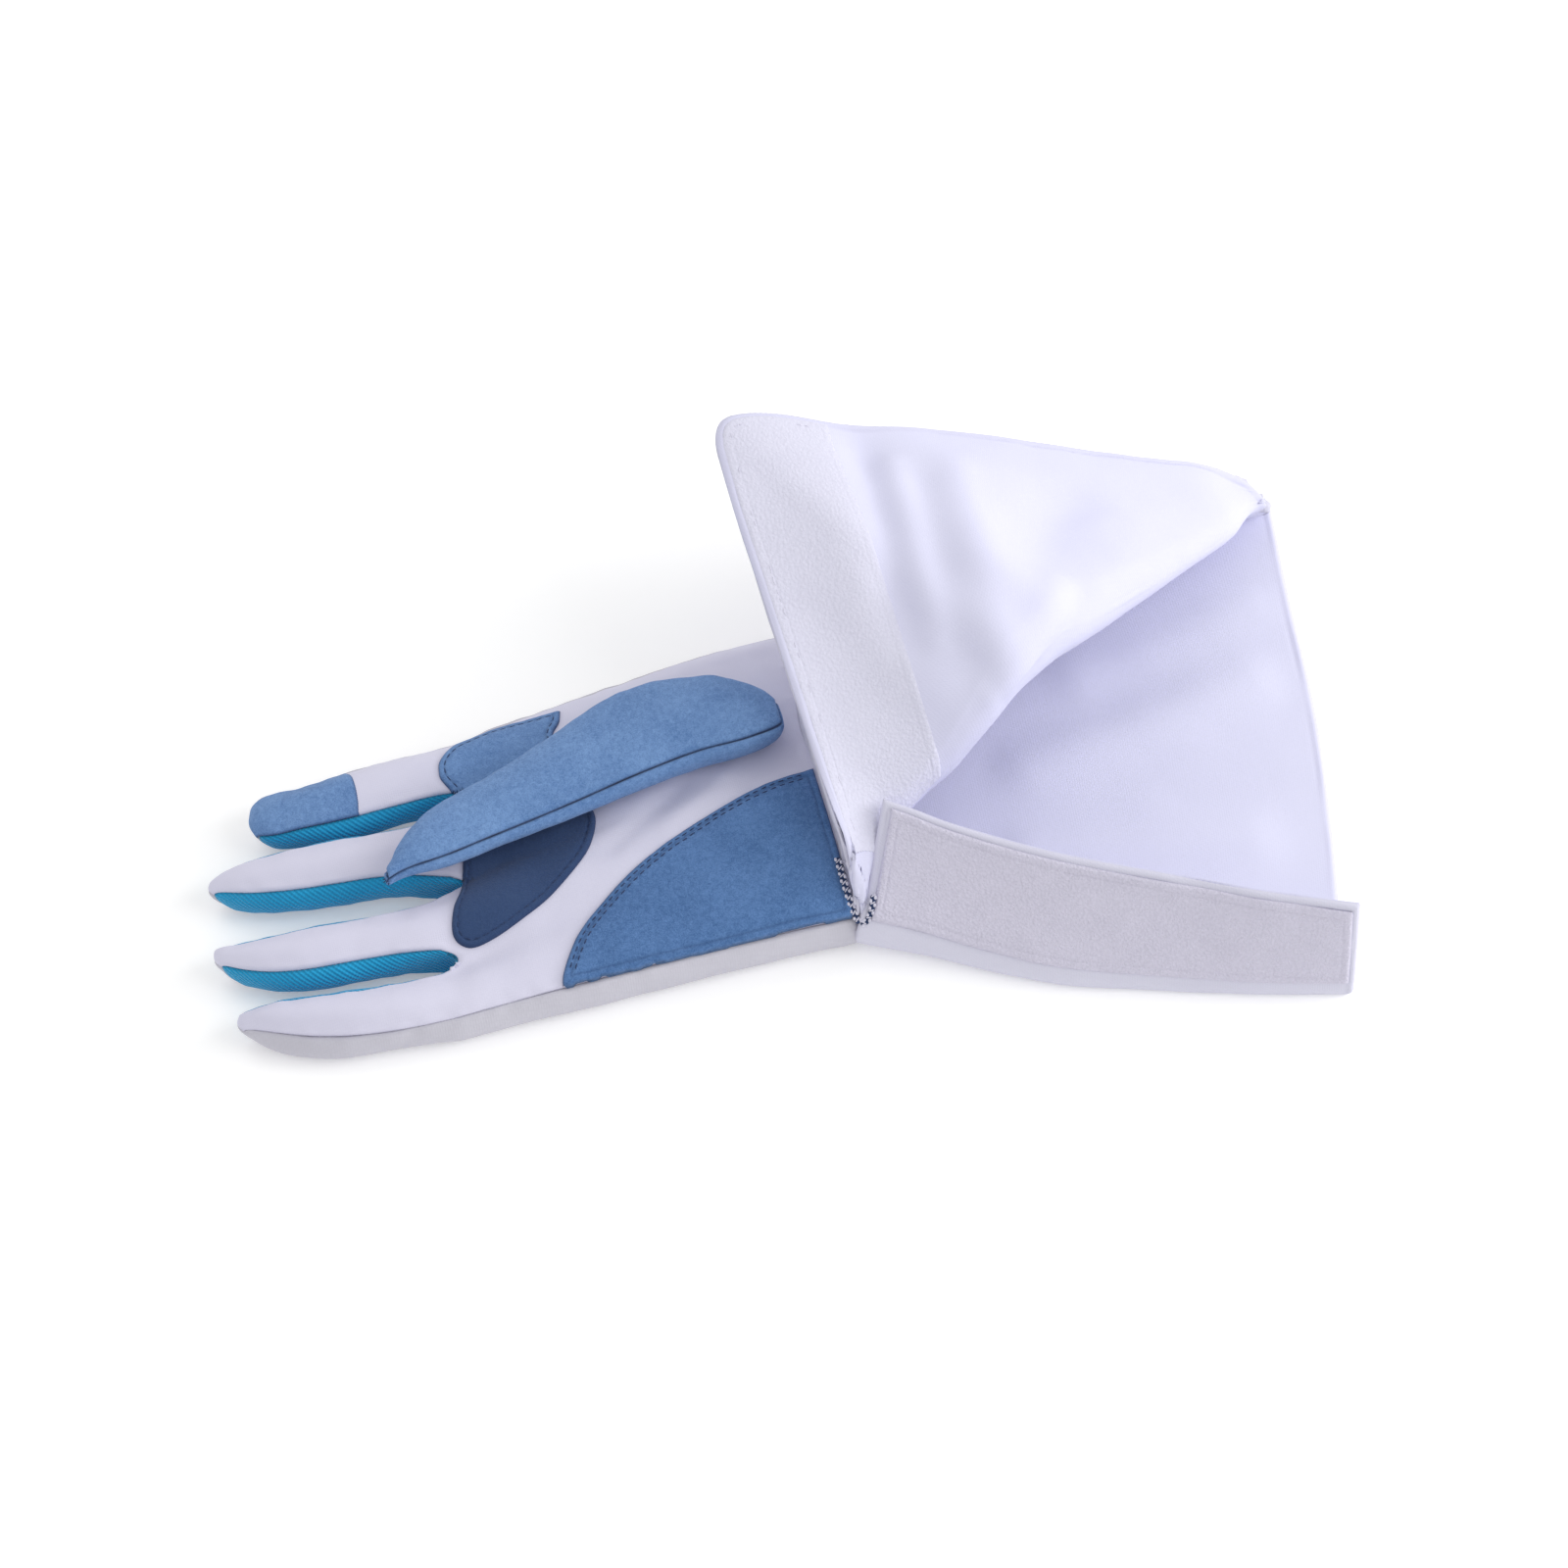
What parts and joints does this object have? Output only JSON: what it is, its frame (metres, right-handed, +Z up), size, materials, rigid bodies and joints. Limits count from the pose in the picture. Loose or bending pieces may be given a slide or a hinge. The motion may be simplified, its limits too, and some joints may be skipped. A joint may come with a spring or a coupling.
{
  "type": "fencing glove",
  "caption": "Right-hand fencing glove lying palm up, pale cloth with teal knit between the fingers, blue suede patches and a long slit cuff with its flap folded open",
  "frame": {"origin": "middle of the box round the glove, at the level it rests on", "axes": "+X from the fingertips to the open end of the cuff, +Y to the thumb side, +Z up out of the palm"},
  "size_m": [0.364, 0.201, 0.0881],
  "materials": {
    "palm_cloth": "smooth matt",
    "back_cloth": "matt",
    "teal_knit": "ribbed",
    "blue_suede": "suede",
    "cuff_cloth": "plain weave",
    "lining_cloth": "plain weave",
    "loop_felt": "brushed loop",
    "hook_tape": "hook",
    "thread": "overlocked"
  },
  "bodies": {
    "root": {"palm_panel": "palm_cloth", "back_panel": "back_cloth", "fourchette_ring_little": "teal_knit", "fourchette_middle_ring": "teal_knit", "fourchette_index_middle": "teal_knit", "index_tip_cap": "blue_suede", "index_palm_patch": "blue_suede", "heel_patch": "blue_suede", "thumb_upper_panel": "palm_cloth", "thumb_under_panel": "blue_suede", "cuff_shell": "cuff_cloth", "cuff_lining": "lining_cloth", "loop_strip": "loop_felt", "hook_strip": "hook_tape", "slit_overlock": "thread"}
  },
  "joints": []
}
